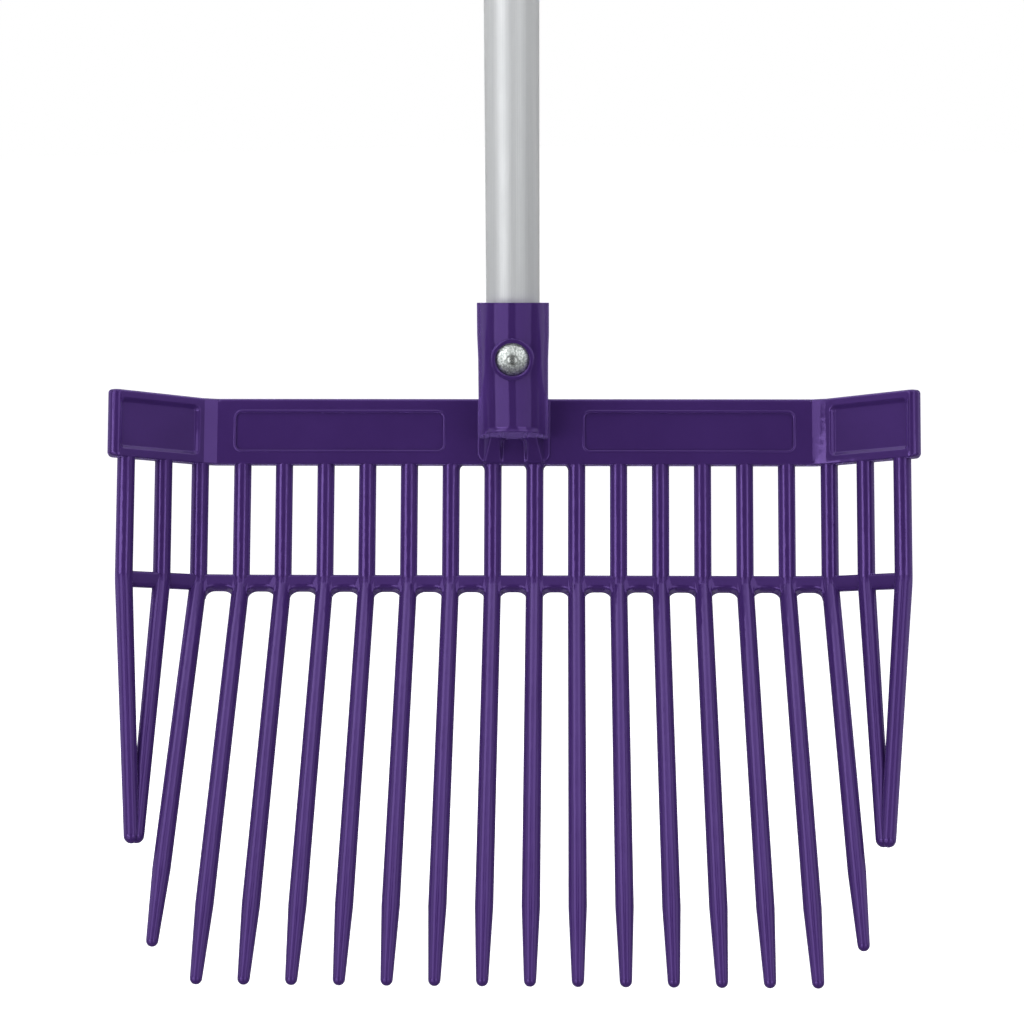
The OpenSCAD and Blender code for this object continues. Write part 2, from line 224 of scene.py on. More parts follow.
# Camera, as the photograph was taken
CAMERA_AT = (0.0231, -1.0299, 0.2095)
CAMERA_TURN_DEG = (72.883, 0.264, 1.254)
SENSOR_W = 36.0
LENS = 77.34

# Stage
AMBIENT_LEVEL = 0.25
# Brightness of the studio in reflections, as (share of the way from ahead to behind, level)
WALL_STOPS = ((0.44, 0.06), (0.52, 0.7), (0.70, 0.6), (0.84, 0.08))
FLOOR_DROP = 0.48
FLOOR_RADIUS = 6.0
FLOOR_SIDES = 96
# Grey of the floor as a source of light for the fork, and as the camera sees it
FLOOR_BOUNCE = 0.45
FLOOR_SHOWN = 0.3
# Glow that whitens the floor for the camera, near the fork, where its shadow shows, and far from it,
# and the distances between which it rises
GLOW_NEAR = 0.27
GLOW_FAR = 0.95
GLOW_FADE = (0.4, 1.0)
# Brightness of the floor round the fork in reflections, and the distances between which it fades
NEAR_FLOOR_LEVEL = 0.2
NEAR_FLOOR_FADE = (0.95, 1.3)

# Strip lamps: the two ends, the width and the radiance
STRIPS = {
    "left_strip": (((-0.85, -1.27, 0.67), (-0.85, 0.3, 1.57)), 0.75, 2.4),
    "right_strip": (((0.85, -1.4, 0.6), (0.65, 0.3, 1.6)), 0.65, 1.9),
}
STRIP_TARGET = Vector((0, -0.05, -0.1))
# Softboxes: place, target, width, height, radiance, and whether they show in reflections
SOFTBOXES = {
    "left_front": ((-1.06, -1.27, 0.36), (0, 0, -0.1), 1.3, 0.5, 4.8, True),
    "right_front": ((0.91, -1.37, 0.36), (0, 0, -0.1), 0.9, 0.5, 3.4, True),
    "left_side": ((-1.6, -0.4, 0.6), (0, 0, -0.1), 1.6, 1.2, 0.35, True),
    "right_side": ((1.6, -0.4, 0.6), (0, 0, -0.1), 1.6, 1.2, 0.5, True),
    "top": ((-0.1, 0.1, 1.75), (0, -0.1, -0.2), 0.9, 1.3, 1.5, True),
    "front_top": ((0.0, -0.95, 1.55), (0, -0.1, -0.2), 1.0, 0.8, 0.55, True),
    "back_top": ((0.0, 1.2, 1.4), (0, 0, -0.1), 3.0, 1.1, 1.8, True),
    "left_rim": ((-1.15, 0.85, 0.12), (0, 0, 0), 1.0, 0.9, 16.0, False),
    "right_rim": ((1.15, 0.85, 0.12), (0, 0, 0), 1.0, 0.9, 12.0, False),
    "left_panel": ((-0.95, -1.24, -0.36), (0, 0, -0.36), 1.35, 0.74, 2.0, True),
    "right_panel": ((0.90, -1.28, -0.36), (0, 0, -0.36), 1.5, 0.74, 1.0, True),
}


def new_material(name):
    """A new node material: itself, its tree and the Principled shader wired to its output."""
    material = bpy.data.materials.new(name)
    material.use_nodes = True
    tree = material.node_tree
    return material, tree, tree.nodes["Principled BSDF"]


def place_coordinates(tree, stretch=(1.0, 1.0, 1.0)):
    """Coordinates in metres on the object, stretched by a factor along each axis."""
    place = tree.nodes.new("ShaderNodeTexCoord")
    mapping = tree.nodes.new("ShaderNodeMapping")
    mapping.inputs["Scale"].default_value = stretch
    tree.links.new(place.outputs["Object"], mapping.inputs["Vector"])
    return mapping.outputs["Vector"]


def noise(tree, vector, scale, detail=2.0):
    """Noise with about scale lumps per metre along the given coordinates."""
    node = tree.nodes.new("ShaderNodeTexNoise")
    node.inputs["Scale"].default_value = scale
    node.inputs["Detail"].default_value = detail
    tree.links.new(vector, node.inputs["Vector"])
    return node.outputs["Fac"]


def spread(tree, value, low, high, from_low=0.3, from_high=0.7):
    """Maps a value, held between from_low and from_high, to the span from low to high."""
    node = tree.nodes.new("ShaderNodeMapRange")
    node.inputs["From Min"].default_value = from_low
    node.inputs["From Max"].default_value = from_high
    node.inputs["To Min"].default_value = low
    node.inputs["To Max"].default_value = high
    tree.links.new(value, node.inputs["Value"])
    return node.outputs["Result"]


def maths(tree, operation, first, second):
    """The result of a maths node for two node values."""
    node = tree.nodes.new("ShaderNodeMath")
    node.operation = operation
    tree.links.new(first, node.inputs[0])
    tree.links.new(second, node.inputs[1])
    return node.outputs["Value"]


def distance_from(tree, vector, point):
    """Distance of a node's vector from a fixed point."""
    node = tree.nodes.new("ShaderNodeVectorMath")
    node.operation = "DISTANCE"
    node.inputs[1].default_value = point
    tree.links.new(vector, node.inputs[0])
    return node.outputs["Value"]


def blend_colours(tree, value, tones):
    """A colour between two tones, by a value from 0 to 1."""
    ramp = tree.nodes.new("ShaderNodeValToRGB")
    for element, tone in zip(ramp.color_ramp.elements, tones):
        element.color = (*tone, 1.0)
    tree.links.new(value, ramp.inputs["Fac"])
    return ramp.outputs["Color"]


def mottle(tree, value, tones):
    """A colour that wanders between two tones with a noise."""
    return blend_colours(tree, spread(tree, value, 0.0, 1.0), tones)


def relief(tree, height, depth, under=None):
    """A bump of the given depth in metres, laid over another one."""
    bump = tree.nodes.new("ShaderNodeBump")
    bump.inputs["Distance"].default_value = depth
    tree.links.new(height, bump.inputs["Height"])
    if under is not None:
        tree.links.new(under, bump.inputs["Normal"])
    return bump.outputs["Normal"]


def plastic_material():
    """Purple polycarbonate: a glossy skin with moulding waves, fine orange peel and handling scratches."""
    material, tree, shader = new_material("purple_plastic")
    even = place_coordinates(tree)
    along = place_coordinates(tree, stretch=(1.0, 0.25, 0.12))
    waves = noise(tree, even, scale=85.0)
    peel = noise(tree, even, scale=1300.0)
    scuffs = noise(tree, along, scale=2600.0, detail=4.0)
    clouds = noise(tree, even, scale=38.0, detail=4.0)
    scratches = spread(tree, scuffs, 0.0, 1.0, from_low=0.62, from_high=0.72)
    skin = relief(tree, waves, depth=0.0002)
    skin = relief(tree, peel, depth=0.000004, under=skin)
    skin = relief(tree, scratches, depth=0.000002, under=skin)
    tree.links.new(mottle(tree, clouds, PURPLE), shader.inputs["Base Color"])
    tree.links.new(spread(tree, scuffs, low=0.07, high=0.13), shader.inputs["Roughness"])
    tree.links.new(skin, shader.inputs["Normal"])
    shader.inputs["IOR"].default_value = 1.55
    shader.inputs["Specular Tint"].default_value = PURPLE_GLOSS
    shader.inputs["Sheen Weight"].default_value = 0.45
    shader.inputs["Sheen Roughness"].default_value = 0.25
    shader.inputs["Sheen Tint"].default_value = PURPLE_EDGES
    return material


def tube_material():
    """Satin aluminium with fine lines drawn along the tube."""
    material, tree, shader = new_material("satin_aluminium")
    lines = noise(tree, place_coordinates(tree, stretch=(1.0, 1.0, 0.004)), scale=1800.0, detail=3.0)
    clouds = noise(tree, place_coordinates(tree), scale=45.0, detail=4.0)
    tree.links.new(mottle(tree, lines, ALUMINIUM), shader.inputs["Base Color"])
    tree.links.new(spread(tree, clouds, low=0.50, high=0.58), shader.inputs["Roughness"])
    tree.links.new(relief(tree, lines, depth=0.00001), shader.inputs["Normal"])
    shader.inputs["Metallic"].default_value = 0.8
    shader.inputs["Specular Tint"].default_value = ALUMINIUM_GLOSS
    return material


def zinc_material():
    """Dull zinc plate with a grainy skin."""
    material, tree, shader = new_material("zinc_plate")
    even = place_coordinates(tree)
    grain = noise(tree, even, scale=1900.0, detail=3.0)
    clouds = noise(tree, even, scale=420.0, detail=4.0)
    tree.links.new(mottle(tree, clouds, ZINC), shader.inputs["Base Color"])
    tree.links.new(spread(tree, clouds, low=0.22, high=0.42), shader.inputs["Roughness"])
    tree.links.new(relief(tree, grain, depth=0.0002), shader.inputs["Normal"])
    shader.inputs["Metallic"].default_value = 1.0
    return material


def bolt_material():
    """Zinc plate, smooth in the middle of the dome and grainy round it."""
    material, tree, shader = new_material("zinc_bolt")
    across = place_coordinates(tree, stretch=(1.0, 0.0, 1.0))
    from_middle = distance_from(tree, across, (0.0, 0.0, -BOLT_DROP))
    ring = spread(tree, from_middle, 0.0, 1.0, DOME_GRAIN_FROM, DOME_GRAIN_FULL)
    worn = spread(tree, ring, low=0.7, high=0.0, from_low=0.0, from_high=1.0)
    grain = noise(tree, place_coordinates(tree), scale=1300.0, detail=3.0)
    shade = maths(tree, "MAXIMUM", spread(tree, grain, 0.0, 1.0, from_low=0.36, from_high=0.64), worn)
    roughness = spread(tree, ring, low=0.22, high=0.42, from_low=0.0, from_high=1.0)
    skin = relief(tree, maths(tree, "MULTIPLY", grain, ring), depth=0.00025)
    tree.links.new(blend_colours(tree, shade, BOLT_ZINC), shader.inputs["Base Color"])
    tree.links.new(roughness, shader.inputs["Roughness"])
    tree.links.new(skin, shader.inputs["Normal"])
    shader.inputs["Metallic"].default_value = 1.0
    return material


def cap_material():
    """Black cap plastic with a fine moulded grain."""
    material, tree, shader = new_material("cap_plastic")
    grain = noise(tree, place_coordinates(tree), scale=1600.0)
    tree.links.new(mottle(tree, grain, CAP_BLACK), shader.inputs["Base Color"])
    tree.links.new(spread(tree, grain, low=0.45, high=0.6), shader.inputs["Roughness"])
    tree.links.new(relief(tree, grain, depth=0.00003), shader.inputs["Normal"])
    return material


def paint(obj, material):
    """Gives an object one material."""
    obj.data.materials.clear()
    obj.data.materials.append(material)


def add_piece(name, mesh, material, *nodes):
    """Shows a mesh of the head, in place of the named CAD nodes if there are any."""
    piece = bpy.data.objects.new(name, mesh)
    bpy.context.scene.collection.objects.link(piece)
    paint(piece, material)
    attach(piece, "root")
    if nodes:
        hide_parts(*nodes)
    return piece


def smooth_mesh(name, points, faces, crisp_angle=None):
    """A smoothly shaded mesh from points in the head's frame, with edges from an angle on kept crisp."""
    mesh = bpy.data.meshes.new(name)
    mesh.from_pydata([HEAD @ point for point in points], [], faces)
    mesh.shade_smooth()
    if crisp_angle is not None:
        mesh.set_sharp_from_angle(angle=crisp_angle)
    return mesh


def band_faces(first, second):
    """Quads between two closed rings of point numbers."""
    count = len(first)
    return [
        (first[k], first[(k + 1) % count], second[(k + 1) % count], second[k])
        for k in range(count)
    ]


def geometry_of(faces):
    """Some faces of a mesh with their corners and edges, for a cut through these alone."""
    verts = dict.fromkeys(vert for face in faces for vert in face.verts)
    edges = dict.fromkeys(edge for face in faces for edge in face.edges)
    return [*verts, *edges, *faces]


def fill_cut(shape, cut):
    """Closes the hole that a cut has left."""
    rim = [part for part in cut["geom_cut"] if isinstance(part, bmesh.types.BMEdge)]
    bmesh.ops.edgeloop_fill(shape, edges=rim)


def fillet_width(distance, radius):
    """How far a fillet still reaches out at a distance from the face it eases into."""
    if distance >= radius:
        return 0.0
    return radius - math.sqrt(radius ** 2 - (radius - max(distance, 0.0)) ** 2)


def rounded_step(distance, radius):
    """Share of its full height that a rounded edge has at a distance inside its outline."""
    share = min(max(distance / radius, 0.0), 1.0)
    return math.sqrt(1 - (1 - share) ** 2)


def soft_step(distance, width):
    """Goes smoothly from 0 to 1 over a width on both sides of zero."""
    share = min(max(distance / width / 2 + 0.5, 0.0), 1.0)
    return share * share * (3 - 2 * share)


def soft_least(first, second, width):
    """The lesser of two heights, rounded where they cross."""
    share = max(width - abs(first - second), 0.0) / width
    return min(first, second) - share * share * width / 4


def half_plan(n):
    """Plan point of the tine n spacings right of the middle: in the bar's line, then out along the wing."""
    if n < CORNER_N:
        return Vector((n * TINE_PITCH, 0))
    out = (n - CORNER_N) * TINE_PITCH
    corner = Vector((CORNER_N * TINE_PITCH, -CORNER_LEN * math.sin(WING_ANGLE / 2)))
    return corner + out * WING_RUN


def tine_n(number):
    """Tine number counted from the middle of the fork: halves, negative on the left."""
    return number - (TINE_COUNT + 1) / 2


def tine_side(number):
    """1 for a tine on the right half of the fork, -1 on the left."""
    return math.copysign(1.0, tine_n(number))


def tine_plan(number):
    """Plan point of a tine, counted from the left."""
    place = half_plan(abs(tine_n(number)))
    return Vector((tine_side(number) * place.x, place.y))


def knee_of(number):
    """Where a tine's two legs would meet."""
    place = tine_plan(number)
    return Vector((place.x, place.y, -BRACE_DROP))


class Path:
    """Two straight legs joined by an arc: rings of points are laid out along it."""

    def __init__(self, start, knee, end):
        self.start = start
        self.knee = knee
        self.end = end
        self.first = (knee - start).normalized()
        self.second = (end - knee).normalized()
        self.turn = self.first.angle(self.second)
        self.tangent = BEND_R * math.tan(self.turn / 2)
        self.axis = self.first.cross(self.second).normalized()
        self.arc_start = knee - self.first * self.tangent
        self.centre = self.arc_start + self.axis.cross(self.first) * BEND_R

    def ring(self, at, along, radius, flare=(0.0, 0.0)):
        """A ring of points round the path; flare widens its left and right side."""
        other = along.cross(self.axis)
        points = []
        for k in range(TINE_SIDES):
            turn = 2 * math.pi * k / TINE_SIDES
            offset = (math.cos(turn) * self.axis + math.sin(turn) * other) * radius
            widen = flare[0] if offset.x < 0 else flare[1]
            offset.x *= 1 + widen / radius
            points.append(at + offset)
        return points

    def low_ring(self, reach, radius):
        """A ring of points round the lower leg, at a distance from the knee."""
        return self.ring(self.knee + self.second * reach, self.second, radius)

    def arc(self):
        """Points and directions along the arc."""
        for k in range(BEND_STEPS + 1):
            turn = Matrix.Rotation(self.turn * k / BEND_STEPS, 3, self.axis)
            yield self.centre + turn @ (self.arc_start - self.centre), turn @ self.first


def tine_rings(path, number, low_r, point_from, tip_r):
    """Rings of one tine, from the bar down round the knee to its rounded tip."""
    sides = ROOT_FILLETS.get(number, (0, 0))
    rings = []
    for drop in ROOT_DROPS:
        width = fillet_width(drop, ROOT_FILLET_R)
        at = path.start + path.first * (drop + ROOT_SINK)
        rings.append(path.ring(at, path.first, TINE_R, [side * width for side in sides]))
    for at, along in path.arc():
        rings.append(path.ring(at, along, TINE_R))
    for step in range(1, LEG_STEPS + 1):
        reach = path.tangent + step / LEG_STEPS * (point_from - path.tangent)
        rings.append(path.low_ring(reach, TINE_R + (low_r - TINE_R) * reach / point_from))
    point_to = (path.end - path.knee).length - tip_r
    if point_to > point_from:
        for step in range(1, POINT_STEPS + 1):
            share = step / POINT_STEPS
            reach = point_from + share * (point_to - point_from)
            rings.append(path.low_ring(reach, low_r + (tip_r - low_r) * share))
    for step in range(1, TIP_STEPS + 1):
        turn = TIP_STEP * step
        rings.append(path.low_ring(point_to + tip_r * math.sin(turn), tip_r * math.cos(turn)))
    return rings


def tine_mesh(number):
    """One tine as a closed mesh."""
    n = abs(tine_n(number))
    knee = knee_of(number)
    start = Vector((knee.x, knee.y, ROOT_SINK))
    if n > CORNER_N:
        end = guard_end(number)
        end += (end - knee).normalized() * GUARD_TIP_R
        point_from = (end - knee).length - GUARD_TIP_R
        rings = tine_rings(Path(start, knee, end), number, GUARD_TIP_R, point_from, GUARD_TIP_R)
    else:
        length = CORNER_TINE_LEN if n == CORNER_N else TINE_LEN
        end = knee + length * Vector((0, -math.sin(TINE_BEND), -math.cos(TINE_BEND)))
        rings = tine_rings(Path(start, knee, end), number, TINE_LOW_R, length - POINT_LEN, TIP_R)
    points = [point for ring in rings for point in ring]
    points.append(end)
    numbers = [range(k * TINE_SIDES, (k + 1) * TINE_SIDES) for k in range(len(rings))]
    faces = [tuple(reversed(numbers[0]))]
    for upper, lower in zip(numbers, numbers[1:]):
        faces += band_faces(upper, lower)
    last = numbers[-1]
    faces += [(last[k], last[(k + 1) % TINE_SIDES], len(points) - 1) for k in range(TINE_SIDES)]
    mesh = smooth_mesh(f"tine_{number:02d}_mould", points, faces)
    if n > CORNER_N:
        cut_guard(mesh, number)
    return mesh


def guard_tip(side):
    """The shared tip of a side guard's two tines: side is 1 on the right and -1 on the left."""
    return Vector((side * GUARD_TIP.x, GUARD_TIP.y, GUARD_TIP.z - BRACE_DROP))


def guard_knees(side):
    """Knees of the inner and outer tine of a side guard."""
    inner = half_plan(CORNER_N + 1)
    outer = half_plan(CORNER_N + 2)
    return [Vector((side * place.x, place.y, -BRACE_DROP)) for place in (inner, outer)]


def is_outer(number):
    """Whether a guard tine is the outer one of its pair."""
    return abs(tine_n(number)) > CORNER_N + 1


def guard_end(number):
    """Where a guard tine's middle line ends, beside the shared tip."""
    side = tine_side(number)
    inner, outer = guard_knees(side)
    outward = (outer - inner).normalized()
    share = 0.5 if is_outer(number) else -0.5
    return guard_tip(side) + share * GUARD_TIP_GAP * outward


def cut_guard(mesh, number):
    """Cuts a guard tine where its neighbour begins, on the plane midway between them."""
    side = tine_side(number)
    inner, outer = guard_knees(side)
    tip = guard_tip(side)
    outward = (outer - inner).normalized()
    middle = (tip - (inner + outer) / 2).normalized()
    between = (outward - outward.dot(middle) * middle).normalized()
    keep = between if is_outer(number) else -between
    shape = bmesh.new()
    shape.from_mesh(mesh)
    below = -BRACE_DROP - 2 * TINE_R
    low_faces = [face for face in shape.faces if all((HEAD_BACK @ vert.co).z < below for vert in face.verts)]
    cut = bmesh.ops.bisect_plane(
        shape, geom=geometry_of(low_faces), plane_co=HEAD @ tip, plane_no=HEAD_TURN @ keep, clear_inner=True
    )
    fill_cut(shape, cut)
    shape.to_mesh(mesh)
    shape.free()


def brace_section(top, bottom):
    """Outline of the brace, as (forward or back, along the tine), with rounded corners."""
    corners = [
        (BRACE_T / 2, top, 0.0),
        (-BRACE_T / 2, top, math.pi / 2),
        (-BRACE_T / 2, bottom, math.pi),
        (BRACE_T / 2, bottom, 3 * math.pi / 2),
    ]
    outline = []
    for across, along, start in corners:
        middle_across = across - math.copysign(BRACE_EDGE_R, across)
        middle_along = along - math.copysign(BRACE_EDGE_R, along)
        for step in range(EDGE_STEPS + 1):
            turn = start + step * math.pi / (2 * EDGE_STEPS)
            outline.append((
                middle_across + BRACE_EDGE_R * math.cos(turn),
                middle_along + BRACE_EDGE_R * math.sin(turn),
            ))
    return outline


def along_bend(across, along):
    """A point beside a floor tine's bent middle line, as (back, up) from the knee."""
    half = BEND_R * TINE_BEND / 2
    tangent = BEND_R * math.tan(TINE_BEND / 2)
    past = half - along
    turn = min(max(past, 0.0), 2 * half) / BEND_R
    straight = past - turn * BEND_R
    back = -BEND_R + BEND_R * math.cos(turn) - straight * math.sin(turn)
    up = tangent - BEND_R * math.sin(turn) - straight * math.cos(turn)
    return back + across * math.cos(turn), up - across * math.sin(turn)


def brace_stations(length):
    """Distances along a bay at which the brace's outline is drawn, close together in the arch's corners."""
    near = [TINE_R / 2] + [ARCH_FROM + ARCH_R * share for share in ARCH_SHARES]
    return near + [length / 2] + [length - distance for distance in reversed(near)]


def brace_bay(number, points, faces):
    """Adds the brace between one tine and the next."""
    first = tine_plan(number)
    second = tine_plan(number + 1)
    run = second - first
    length = run.length
    run.normalize()
    back = Vector((-run.y, run.x))
    floor_bay = max(abs(tine_n(number)), abs(tine_n(number + 1))) <= CORNER_N
    rings = []
    for distance in brace_stations(length):
        gap = min(distance, length - distance) - ARCH_FROM
        drop = fillet_width(gap, ARCH_R) if floor_bay else 0.0
        ring = []
        for across, along in brace_section(BRACE_H / 2, -BRACE_H / 2 - drop):
            step, up = along_bend(across, along) if floor_bay else (across, along)
            plan = first + run * distance + back * step
            ring.append(len(points))
            points.append(Vector((plan.x, plan.y, up - BRACE_DROP)))
        rings.append(ring)
    faces.append(tuple(reversed(rings[0])))
    faces.append(tuple(rings[-1]))
    for one, other in zip(rings, rings[1:]):
        faces += band_faces(one, other)


def brace_mesh():
    """The brace: bays from tine to tine, which meet inside the tines."""
    points = []
    faces = []
    for number in range(1, TINE_COUNT):
        brace_bay(number, points, faces)
    return smooth_mesh("brace_mould", points, faces, CRISP_ANGLE)


def panel_outline(left, right, border, corner_r):
    """Points round a panel as (along, up), each with the direction out of the panel."""
    low = border
    high = BAR_H - border
    for along, up, start in ((right, low, -1), (right, high, 0), (left, high, 1), (left, low, 2)):
        middle = Vector((
            along - math.copysign(corner_r, along - (left + right) / 2),
            up - math.copysign(corner_r, up - BAR_H / 2),
        ))
        for step in range(CORNER_STEPS + 1):
            turn = (start + step / CORNER_STEPS) * math.pi / 2
            out = Vector((math.cos(turn), math.sin(turn)))
            yield middle + corner_r * out, out


def swept_mesh(name, outline, profile, place_on):
    """A profile of (out, height) points, from the inside out, swept round a panel's outline."""
    points = []
    rings = []
    for spot, out in outline:
        rings.append(range(len(points), len(points) + len(profile)))
        for across, height in profile:
            along, up = spot + across * out
            points.append(place_on(along, up, height))
    faces = []
    for one, other in zip(rings, rings[1:] + rings[:1]):
        faces += band_faces(one, other)
    return smooth_mesh(name, points, faces, CRISP_ANGLE)


def on_bar_front(along, up, height):
    """A point at a height over the front of the bar, along it from the middle."""
    return Vector((along, -BAR_T / 2 - height, up))


def on_right_wing(along, up, height):
    """A point at a height over the front of the right wing, along it from the corner tine."""
    foot = half_plan(CORNER_N)
    front = Vector((WING_RUN.y, -WING_RUN.x))
    plan = foot + along * WING_RUN + (BAR_T / 2 + height) * front
    return Vector((plan.x, plan.y, up))


def on_left_wing(along, up, height):
    """A point at a height over the front of the left wing, where along is negative."""
    place = on_right_wing(-along, up, height)
    return Vector((-place.x, place.y, place.z))


def bead_mesh(name, left, right):
    """A raised line round a panel of the bar, with the section of a flat arc."""
    half_turn = math.acos(1 - BEAD_H / BEAD_R)
    profile = [(-BEAD_R * math.sin(half_turn), -TRIM_SINK)]
    for step in range(BEAD_STEPS + 1):
        turn = half_turn * (2 * step / BEAD_STEPS - 1)
        profile.append((BEAD_R * math.sin(turn), BEAD_R * math.cos(turn) - BEAD_R + BEAD_H))
    profile.append((BEAD_R * math.sin(half_turn), -TRIM_SINK))
    return swept_mesh(name, panel_outline(left, right, PANEL_BORDER, PANEL_CORNER_R), profile, on_bar_front)


def slope_mesh(name, left, right, place_on):
    """Sloping sides for the panel of a wing, from its face down to the panel's floor."""
    low = -WING_PANEL_DEPTH - TRIM_SINK
    profile = [(-SLOPE_W, low)]
    for step in range(SLOPE_STEPS + 1):
        share = step / SLOPE_STEPS
        profile.append((SLOPE_W * (share - 1), WING_PANEL_DEPTH * (soft_step(share - 0.5, 0.5) - 1)))
    profile.append((0.0, low))
    outline = panel_outline(left, right, WING_PANEL_BORDER, WING_PANEL_CORNER_R)
    return swept_mesh(name, outline, profile, place_on)


def in_head(face):
    """Middle and normal of a face, in the head's frame."""
    return HEAD_BACK @ face.calc_center_median(), HEAD_BACK.to_3x3() @ face.normal


def on_seam(face):
    """Whether a face of the bar or a wing is where the two meet."""
    middle, normal = in_head(face)
    return abs(normal.x) > SEAM_FACING and SEAM_SPAN[0] < abs(middle.x) < SEAM_SPAN[1]


def on_bar(face):
    """Whether a face of the socket lies against the bar."""
    middle, normal = in_head(face)
    front = normal.y > BAR_FACING and abs(middle.y + BAR_T / 2) < NEAR
    top = normal.z < -BAR_FACING and abs(middle.z - BAR_H) < NEAR
    return front or top


def is_bend(edge):
    """Whether an edge is the left wing's crisp bend: long, hollow and upright. The right one is soft."""
    if edge.is_convex or edge.calc_length() < BEND_EDGE_LEN or edge.verts[0].co.x > -BEND_FROM:
        return False
    ends = [HEAD_BACK @ vert.co for vert in edge.verts]
    return abs(ends[0].z - ends[1].z) > BEND_EDGE_LEN


def is_crisp(edge):
    """Whether an edge is to be rounded off."""
    return edge.calc_face_angle() > (BEND_ANGLE if is_bend(edge) else CRISP_ANGLE)


def bar_edge_radius(edge):
    """Radius for a crisp edge of the bar or a wing, none round a wing's panel, which has sloping sides."""
    middle = HEAD_BACK @ ((edge.verts[0].co + edge.verts[1].co) / 2)
    if middle.z > BAR_H - NEAR:
        return BAR_TOP_R
    if middle.z < NEAR:
        return BAR_BOTTOM_R
    if is_bend(edge):
        return WING_BEND_R
    if abs(middle.x) > CORNER_N * TINE_PITCH:
        return 0.0
    return PANEL_RIM_R if edge.is_convex else PANEL_FLOOR_R


def socket_edge_radius(edge):
    """Radius for a crisp edge of the socket, none in its bore below the mouth."""
    middle = (edge.verts[0].co + edge.verts[1].co) / 2
    from_axis = math.hypot(middle.x, middle.y)
    if from_axis < BORE_R + BORE_SLACK and middle.z < -BORE_MOUTH:
        return 0.0
    if (HEAD_BACK @ middle).z < LIP_UP + NEAR:
        return SOCKET_RIM_R
    if abs(middle.x) > PAD_W / 2 - NEAR:
        return PAD_EDGE_R
    from_bolt = math.hypot(middle.x, middle.z + BOLT_DROP)
    if middle.y < -BOSS_FRONT + NEAR and from_bolt < BOSS_R + NEAR:
        return BOSS_EDGE_R
    return SOCKET_EDGE_R


def cut_foot(shape):
    """Cuts the socket off at its lower end, where the foot takes over."""
    everything = [*shape.verts, *shape.edges, *shape.faces]
    cut_at = HEAD @ Vector((0, 0, LIP_UP + HAIR))
    cut = bmesh.ops.bisect_plane(shape, geom=everything, plane_co=cut_at, plane_no=HEAD_UP, clear_inner=True)
    fill_cut(shape, cut)


def ease_pad(shape):
    """Lowers the top corners of the pad to the rounded edge of the bar."""
    for vert in shape.verts:
        place = HEAD_BACK @ vert.co
        if abs(place.x) > PAD_W / 2 - NEAR and place.z > BAR_H - NEAR:
            vert.co -= PAD_TOP_DROP * HEAD_UP


def shape_socket(shape):
    """Fits the socket to its foot and to the bar."""
    cut_foot(shape)
    ease_pad(shape)


def softened(node, radius_of, hidden, reshape=None):
    """A copy of a CAD node's mesh with its crisp edges rounded, apart from those of the hidden faces."""
    mesh = NODES[node].data.copy()
    mesh.name = f"{node}_mould"
    shape = bmesh.new()
    shape.from_mesh(mesh)
    bmesh.ops.remove_doubles(shape, verts=shape.verts[:], dist=WELD_DISTANCE)
    bmesh.ops.dissolve_limit(shape, angle_limit=FLAT_ANGLE, verts=shape.verts[:], edges=shape.edges[:])
    if reshape is not None:
        reshape(shape)
    radii = {radius_of(edge) for edge in shape.edges if len(edge.link_faces) == 2}
    for radius in sorted(radii - {0.0}, reverse=True):
        shape.normal_update()
        crisp = [
            edge for edge in shape.edges
            if len(edge.link_faces) == 2
            and is_crisp(edge)
            and not any(hidden(face) for face in edge.link_faces)
            and radius_of(edge) == radius
        ]
        if crisp:
            bmesh.ops.bevel(
                shape, geom=crisp, offset=radius, offset_type="OFFSET", segments=EDGE_SEGMENTS, profile=0.5,
                affect="EDGES", clamp_overlap=True
            )
    shape.to_mesh(mesh)
    shape.free()
    mesh.shade_smooth()
    mesh.set_sharp_from_angle(angle=CRISP_ANGLE)
    return mesh


def round_wing_corner(mesh):
    """Rounds the outer bottom corner of a wing: cuts its end into layers and draws the low ones in."""
    shape = bmesh.new()
    shape.from_mesh(mesh)
    side = math.copysign(1.0, sum(vert.co.x for vert in shape.verts))
    foot = half_plan(CORNER_N)
    run = Vector((side * WING_RUN.x, WING_RUN.y, 0))
    end = Vector((side * foot.x, foot.y, 0)) + WING_LEN * run

    def beyond(vert):
        return (HEAD_BACK @ vert.co - end).dot(run)

    for share in WING_CORNER_LAYERS:
        faces = [face for face in shape.faces if all(beyond(vert) > -HAIR for vert in face.verts)]
        level = HEAD @ Vector((0, 0, share * WING_CORNER_R))
        bmesh.ops.bisect_plane(shape, geom=geometry_of(faces), plane_co=level, plane_no=HEAD_UP)
    for vert in shape.verts:
        out = beyond(vert)
        if out > 0:
            draw = fillet_width((HEAD_BACK @ vert.co).z, WING_CORNER_R)
            vert.co -= HEAD_TURN @ run * (out * draw / (BAR_T / 2))
    shape.to_mesh(mesh)
    shape.free()
    mesh.set_sharp_from_angle(angle=CRISP_ANGLE)
    return mesh


def inside_pad(x, z):
    """Distance from a point on the bar's face to the outline of the pad, negative outside it."""
    across = PAD_W / 2 - abs(x)
    above = z - PAD_LIFT
    if across < PAD_CORNER_R and above < PAD_CORNER_R:
        return PAD_CORNER_R - math.hypot(PAD_CORNER_R - across, PAD_CORNER_R - above)
    return min(across, above)


